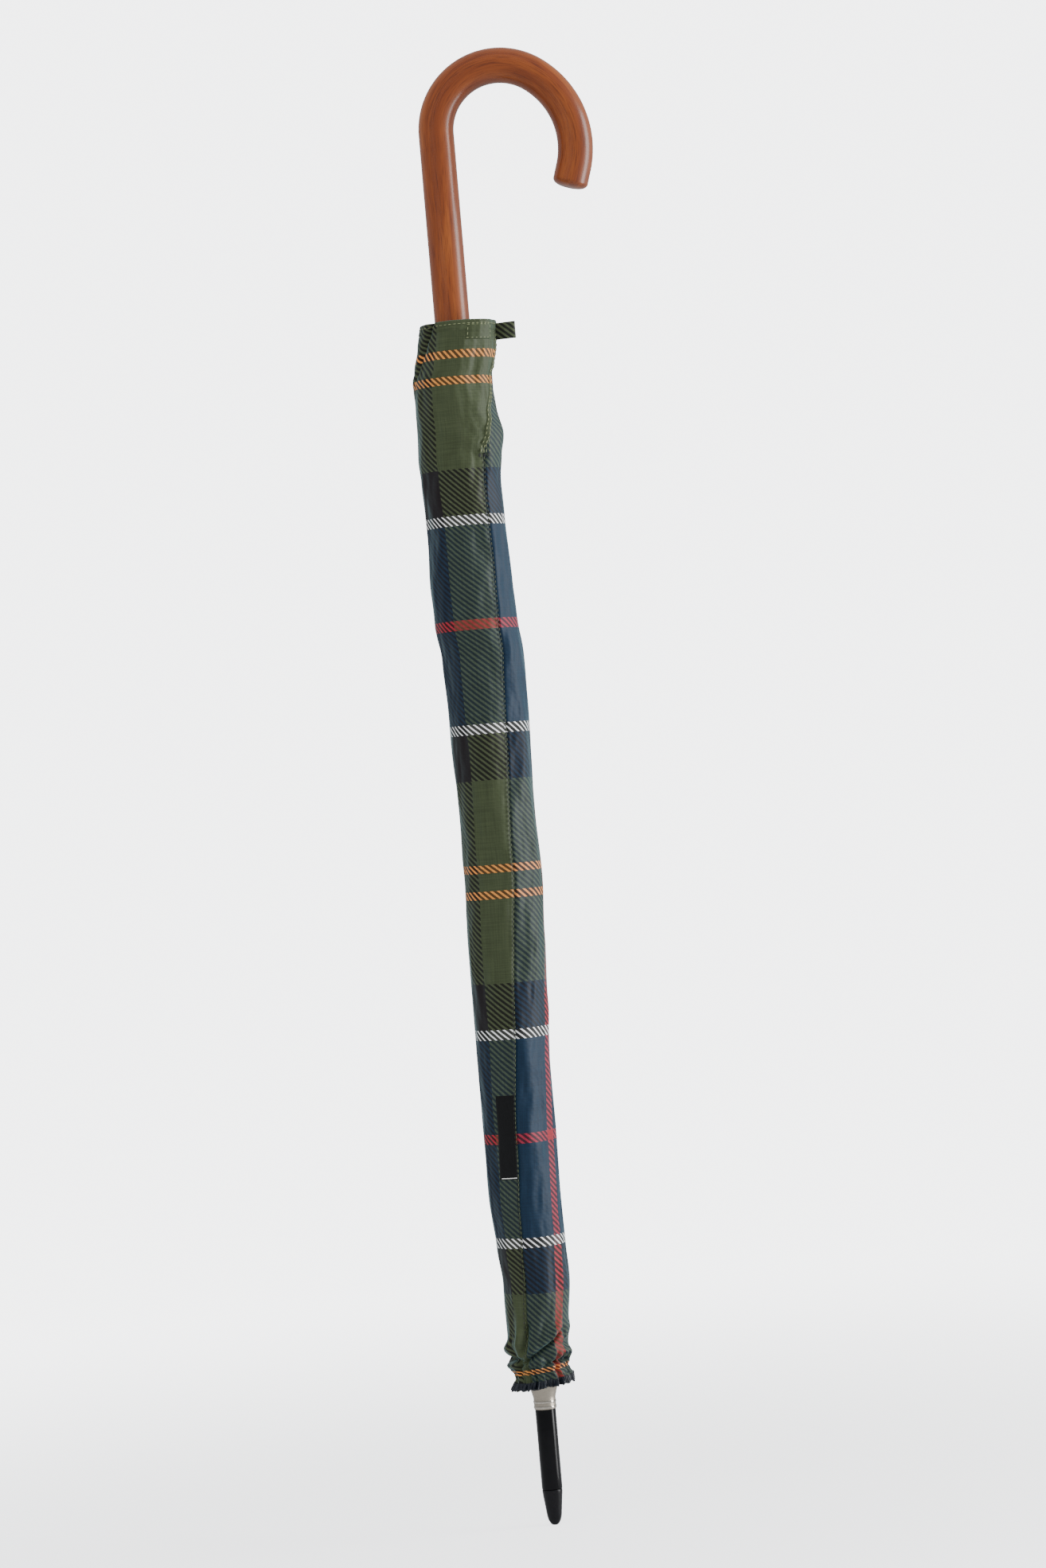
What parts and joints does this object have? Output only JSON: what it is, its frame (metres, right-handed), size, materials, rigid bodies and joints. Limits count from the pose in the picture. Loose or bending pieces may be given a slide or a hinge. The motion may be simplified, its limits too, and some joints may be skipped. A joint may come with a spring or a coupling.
{
  "type": "stick umbrella",
  "caption": "Closed stick umbrella with a bent wood crook handle and a removable tartan cloth sleeve; the runner slides along the shaft to open ribs and canopy.",
  "frame": {"origin": "the flat tip of the end cap, on the shaft's axis", "axes": "+Z along the shaft from the tip to the crook; +X the way the crook opens"},
  "size_m": [0.1196, 0.0498, 0.9],
  "materials": {
    "steel_tube": "plated, satin",
    "rib_steel": "black enamel, semi-gloss",
    "spring_steel": "bright",
    "nickel": "satin nickel plate with polished bands",
    "black_ferrule": "gloss black enamel",
    "black_cap": "moulded, semi-gloss",
    "collar_metal": "satin nickel plate",
    "black_plastic": "moulded",
    "wood": "cherry-stained bent wood under semi-gloss lacquer",
    "tartan": "tartan twill, woven",
    "twill_tape": "olive twill tape",
    "label": "black woven label, blank",
    "elastic": "covered elastic"
  },
  "bodies": {
    "stick": {"shaft": "steel_tube", "handle": "wood", "handle_collar": "collar_metal", "crown": "black_plastic", "crown_wire": "spring_steel", "ferrule_cup": "nickel", "ferrule": "black_ferrule", "tip_cap": "black_cap"},
    "runner": {"runner": "black_plastic"},
    "rib_1": {"rib_1": "rib_steel", "rib_tip_1": "black_plastic", "tie_strap": "tartan", "strap_snap": "nickel"},
    "stretcher_1": {"stretcher_1": "rib_steel"},
    "gore_1": {"canopy_gore_1": "tartan"},
    "rib_2": {"rib_2": "rib_steel", "rib_tip_2": "black_plastic"},
    "stretcher_2": {"stretcher_2": "rib_steel"},
    "gore_2": {"canopy_gore_2": "tartan"},
    "rib_3": {"rib_3": "rib_steel", "rib_tip_3": "black_plastic"},
    "stretcher_3": {"stretcher_3": "rib_steel"},
    "gore_3": {"canopy_gore_3": "tartan"},
    "rib_4": {"rib_4": "rib_steel", "rib_tip_4": "black_plastic"},
    "stretcher_4": {"stretcher_4": "rib_steel"},
    "gore_4": {"canopy_gore_4": "tartan"},
    "rib_5": {"rib_5": "rib_steel", "rib_tip_5": "black_plastic"},
    "stretcher_5": {"stretcher_5": "rib_steel"},
    "gore_5": {"canopy_gore_5": "tartan"},
    "rib_6": {"rib_6": "rib_steel", "rib_tip_6": "black_plastic"},
    "stretcher_6": {"stretcher_6": "rib_steel"},
    "gore_6": {"canopy_gore_6": "tartan"},
    "rib_7": {"rib_7": "rib_steel", "rib_tip_7": "black_plastic"},
    "stretcher_7": {"stretcher_7": "rib_steel"},
    "gore_7": {"canopy_gore_7": "tartan"},
    "rib_8": {"rib_8": "rib_steel", "rib_tip_8": "black_plastic"},
    "stretcher_8": {"stretcher_8": "rib_steel"},
    "gore_8": {"canopy_gore_8": "tartan"},
    "bottom_catch": {"bottom_catch": "spring_steel"},
    "top_catch": {"top_catch": "spring_steel"},
    "sleeve": {"sleeve": "tartan", "sleeve_mouth_hem": "tartan", "sleeve_patch": "tartan", "sleeve_tab": "twill_tape", "sleeve_label": "label", "sleeve_cuff_elastic": "elastic"}
  },
  "joints": [
    {"name": "runner_slide", "type": "slide", "parent": "stick", "child": "runner", "axis": [0, 0, -1], "range_m": [0, 0.3371], "deforming": ["canopy_gore_1", "canopy_gore_2", "canopy_gore_3", "canopy_gore_4", "canopy_gore_5", "canopy_gore_6", "canopy_gore_7", "canopy_gore_8", "sleeve", "sleeve_mouth_hem", "sleeve_patch", "sleeve_tab", "sleeve_label", "sleeve_cuff_elastic"]},
    {"name": "rib_1_hinge", "type": "hinge", "parent": "stick", "child": "rib_1", "pos_m": [0.008, 0, 0.106], "axis": [0, 1, 0], "range_deg": [0, 70.01]},
    {"name": "stretcher_1_hinge", "type": "hinge", "parent": "rib_1", "child": "stretcher_1", "pos_m": [0.01236, 0, 0.35596], "axis": [0, -1, 0], "range_deg": [0, 140.02]},
    {"name": "gore_1_spread", "type": "hinge", "parent": "rib_1", "child": "gore_1", "pos_m": [0.008, 0, 0.106], "axis": [-0.9909, -0.1336, 0.0173], "range_deg": [0, 42.45]},
    {"name": "rib_2_hinge", "type": "hinge", "parent": "stick", "child": "rib_2", "pos_m": [0.00566, 0.00566, 0.106], "axis": [-0.7071, 0.7071, 0], "range_deg": [0, 70.01]},
    {"name": "stretcher_2_hinge", "type": "hinge", "parent": "rib_2", "child": "stretcher_2", "pos_m": [0.00874, 0.00874, 0.35596], "axis": [0.7071, -0.7071, 0], "range_deg": [0, 140.02]},
    {"name": "gore_2_spread", "type": "hinge", "parent": "rib_2", "child": "gore_2", "pos_m": [0.00566, 0.00566, 0.106], "axis": [-0.6062, -0.7952, 0.0173], "range_deg": [0, 42.45]},
    {"name": "rib_3_hinge", "type": "hinge", "parent": "stick", "child": "rib_3", "pos_m": [0, 0.008, 0.106], "axis": [-1, 0, 0], "range_deg": [0, 70.01]},
    {"name": "stretcher_3_hinge", "type": "hinge", "parent": "rib_3", "child": "stretcher_3", "pos_m": [0, 0.01236, 0.35596], "axis": [1, 0, 0], "range_deg": [0, 140.02]},
    {"name": "gore_3_spread", "type": "hinge", "parent": "rib_3", "child": "gore_3", "pos_m": [0, 0.008, 0.106], "axis": [0.1336, -0.9909, 0.0173], "range_deg": [0, 42.45]},
    {"name": "rib_4_hinge", "type": "hinge", "parent": "stick", "child": "rib_4", "pos_m": [-0.00566, 0.00566, 0.106], "axis": [-0.7071, -0.7071, 0], "range_deg": [0, 70.01]},
    {"name": "stretcher_4_hinge", "type": "hinge", "parent": "rib_4", "child": "stretcher_4", "pos_m": [-0.00874, 0.00874, 0.35596], "axis": [0.7071, 0.7071, 0], "range_deg": [0, 140.02]},
    {"name": "gore_4_spread", "type": "hinge", "parent": "rib_4", "child": "gore_4", "pos_m": [-0.00566, 0.00566, 0.106], "axis": [0.7952, -0.6062, 0.0173], "range_deg": [0, 42.45]},
    {"name": "rib_5_hinge", "type": "hinge", "parent": "stick", "child": "rib_5", "pos_m": [-0.008, 0, 0.106], "axis": [0, -1, 0], "range_deg": [0, 70.01]},
    {"name": "stretcher_5_hinge", "type": "hinge", "parent": "rib_5", "child": "stretcher_5", "pos_m": [-0.01236, 0, 0.35596], "axis": [0, 1, 0], "range_deg": [0, 140.02]},
    {"name": "gore_5_spread", "type": "hinge", "parent": "rib_5", "child": "gore_5", "pos_m": [-0.008, 0, 0.106], "axis": [0.9909, 0.1336, 0.0173], "range_deg": [0, 42.45]},
    {"name": "rib_6_hinge", "type": "hinge", "parent": "stick", "child": "rib_6", "pos_m": [-0.00566, -0.00566, 0.106], "axis": [0.7071, -0.7071, 0], "range_deg": [0, 70.01]},
    {"name": "stretcher_6_hinge", "type": "hinge", "parent": "rib_6", "child": "stretcher_6", "pos_m": [-0.00874, -0.00874, 0.35596], "axis": [-0.7071, 0.7071, 0], "range_deg": [0, 140.02]},
    {"name": "gore_6_spread", "type": "hinge", "parent": "rib_6", "child": "gore_6", "pos_m": [-0.00566, -0.00566, 0.106], "axis": [0.6062, 0.7952, 0.0173], "range_deg": [0, 42.45]},
    {"name": "rib_7_hinge", "type": "hinge", "parent": "stick", "child": "rib_7", "pos_m": [0, -0.008, 0.106], "axis": [1, 0, 0], "range_deg": [0, 70.01]},
    {"name": "stretcher_7_hinge", "type": "hinge", "parent": "rib_7", "child": "stretcher_7", "pos_m": [0, -0.01236, 0.35596], "axis": [-1, 0, 0], "range_deg": [0, 140.02]},
    {"name": "gore_7_spread", "type": "hinge", "parent": "rib_7", "child": "gore_7", "pos_m": [0, -0.008, 0.106], "axis": [-0.1336, 0.9909, 0.0173], "range_deg": [0, 42.45]},
    {"name": "rib_8_hinge", "type": "hinge", "parent": "stick", "child": "rib_8", "pos_m": [0.00566, -0.00566, 0.106], "axis": [0.7071, 0.7071, 0], "range_deg": [0, 70.01]},
    {"name": "stretcher_8_hinge", "type": "hinge", "parent": "rib_8", "child": "stretcher_8", "pos_m": [0.00874, -0.00874, 0.35596], "axis": [-0.7071, -0.7071, 0], "range_deg": [0, 140.02]},
    {"name": "gore_8_spread", "type": "hinge", "parent": "rib_8", "child": "gore_8", "pos_m": [0.00566, -0.00566, 0.106], "axis": [-0.7952, 0.6062, 0.0173], "range_deg": [0, 42.45]},
    {"name": "bottom_catch_press", "type": "slide", "parent": "stick", "child": "bottom_catch", "axis": [-0.9239, -0.3827, 0], "range_m": [0, 0.0021], "stiffness_N_per_m": 900},
    {"name": "top_catch_press", "type": "slide", "parent": "stick", "child": "top_catch", "axis": [-0.9239, -0.3827, 0], "range_m": [0, 0.0021], "stiffness_N_per_m": 900},
    {"name": "sleeve_slide", "type": "slide", "parent": "stick", "child": "sleeve", "axis": [0, 0, -1], "range_m": [0, 0.74]}
  ],
  "couplings": [
    {"joint": "rib_1_hinge", "follows": "runner_slide", "rad_per_m": 3.6242},
    {"joint": "stretcher_1_hinge", "follows": "runner_slide", "rad_per_m": 7.2485},
    {"joint": "gore_1_spread", "follows": "runner_slide", "rad_per_m": 2.1966},
    {"joint": "rib_2_hinge", "follows": "runner_slide", "rad_per_m": 3.6242},
    {"joint": "stretcher_2_hinge", "follows": "runner_slide", "rad_per_m": 7.2485},
    {"joint": "gore_2_spread", "follows": "runner_slide", "rad_per_m": 2.1966},
    {"joint": "rib_3_hinge", "follows": "runner_slide", "rad_per_m": 3.6242},
    {"joint": "stretcher_3_hinge", "follows": "runner_slide", "rad_per_m": 7.2485},
    {"joint": "gore_3_spread", "follows": "runner_slide", "rad_per_m": 2.1966},
    {"joint": "rib_4_hinge", "follows": "runner_slide", "rad_per_m": 3.6242},
    {"joint": "stretcher_4_hinge", "follows": "runner_slide", "rad_per_m": 7.2485},
    {"joint": "gore_4_spread", "follows": "runner_slide", "rad_per_m": 2.1966},
    {"joint": "rib_5_hinge", "follows": "runner_slide", "rad_per_m": 3.6242},
    {"joint": "stretcher_5_hinge", "follows": "runner_slide", "rad_per_m": 7.2485},
    {"joint": "gore_5_spread", "follows": "runner_slide", "rad_per_m": 2.1966},
    {"joint": "rib_6_hinge", "follows": "runner_slide", "rad_per_m": 3.6242},
    {"joint": "stretcher_6_hinge", "follows": "runner_slide", "rad_per_m": 7.2485},
    {"joint": "gore_6_spread", "follows": "runner_slide", "rad_per_m": 2.1966},
    {"joint": "rib_7_hinge", "follows": "runner_slide", "rad_per_m": 3.6242},
    {"joint": "stretcher_7_hinge", "follows": "runner_slide", "rad_per_m": 7.2485},
    {"joint": "gore_7_spread", "follows": "runner_slide", "rad_per_m": 2.1966},
    {"joint": "rib_8_hinge", "follows": "runner_slide", "rad_per_m": 3.6242},
    {"joint": "stretcher_8_hinge", "follows": "runner_slide", "rad_per_m": 7.2485},
    {"joint": "gore_8_spread", "follows": "runner_slide", "rad_per_m": 2.1966}
  ]
}
